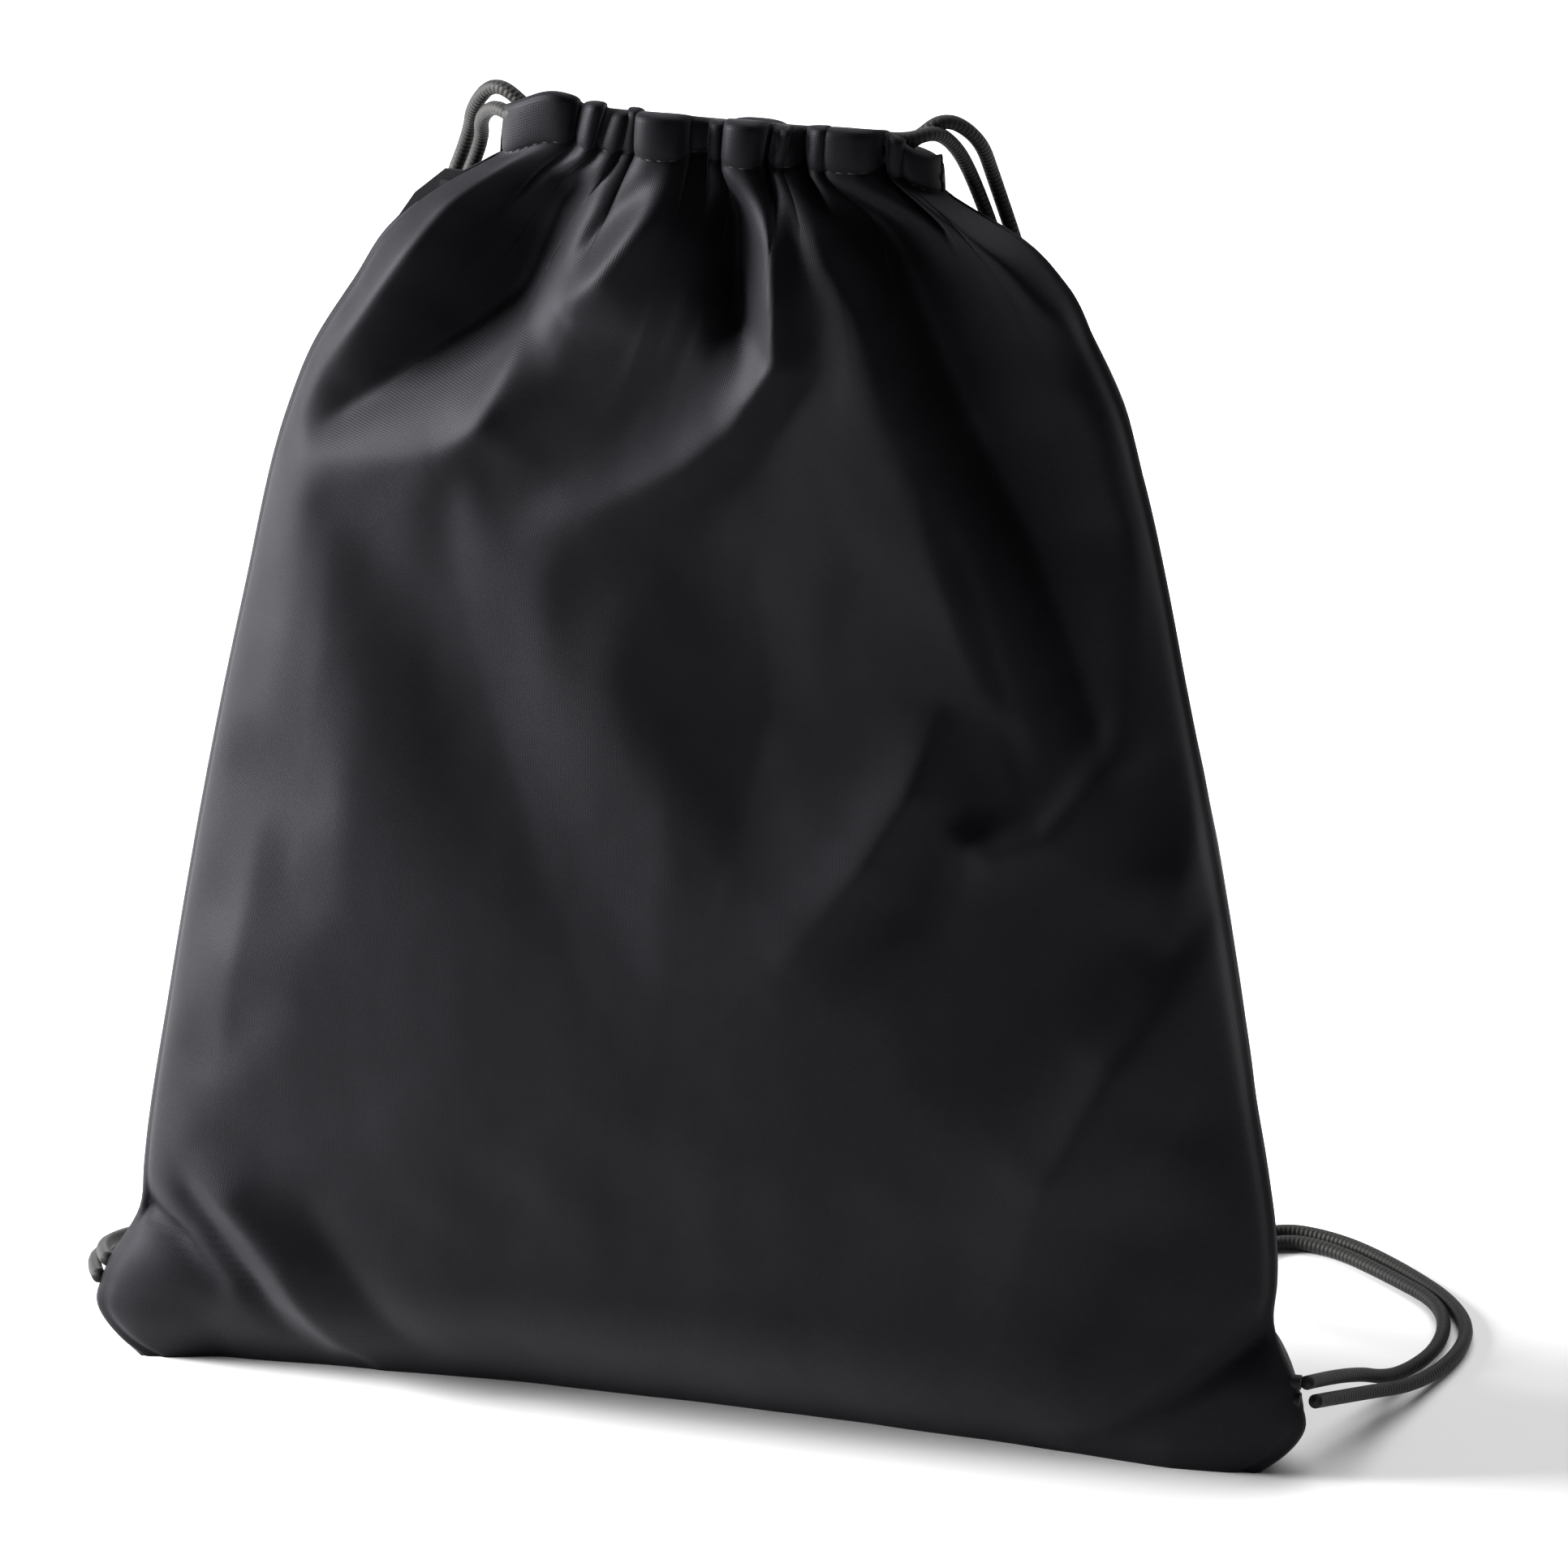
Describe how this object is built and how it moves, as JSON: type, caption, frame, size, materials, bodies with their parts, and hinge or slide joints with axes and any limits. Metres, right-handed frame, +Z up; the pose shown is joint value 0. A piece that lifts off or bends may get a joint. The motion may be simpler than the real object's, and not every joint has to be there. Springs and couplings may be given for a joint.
{
  "type": "drawstring backpack",
  "caption": "Soft drawstring backpack of thin cloth, filled and standing, its mouth gathered by round cords that run through a top casing and form shoulder straps.",
  "frame": {"origin": "middle of the bag's footprint, on the surface that it stands on", "axes": "+Z up towards the gathered mouth, -Y out of the front panel, +X to the right as the front is seen; the straps are behind, at +Y"},
  "size_m": [0.3864, 0.1762, 0.4057],
  "materials": {
    "cloth": "fine plain weave polyester with a soft satin sheen",
    "cord": "matt braided polyester cord",
    "thread": "matt sewing thread"
  },
  "bodies": {
    "bag": {"back_casing": "cloth", "back_casing_stitching": "thread", "back_panel": "cloth", "bottom_seam_allowance": "cloth", "bottom_seam_stitching": "thread", "front_casing": "cloth", "front_casing_stitching": "thread", "front_panel": "cloth", "left_cord_ends": "cord", "left_corner_bartack": "thread", "left_drawcord_channel": "cord", "left_seam_allowance": "cloth", "left_seam_stitching": "thread", "left_slit_bartack": "thread", "right_cord_ends": "cord", "right_corner_bartack": "thread", "right_drawcord_channel": "cord", "right_seam_allowance": "cloth", "right_seam_stitching": "thread", "right_slit_bartack": "thread"},
    "left_strap": {"left_strap_back_strand": "cord", "left_strap_front_strand": "cord"},
    "right_strap": {"right_strap_back_strand": "cord", "right_strap_front_strand": "cord"}
  },
  "joints": [
    {"name": "left_strap_swing", "type": "hinge", "parent": "bag", "child": "left_strap", "pos_m": [-0.1788, -0.0139, 0.027], "axis": [0.2823, 0.1023, 0.9539], "range_deg": [0, 90]},
    {"name": "right_strap_swing", "type": "hinge", "parent": "bag", "child": "right_strap", "pos_m": [0.1788, -0.0139, 0.027], "axis": [0.2823, -0.1023, -0.9539], "range_deg": [0, 90]}
  ]
}
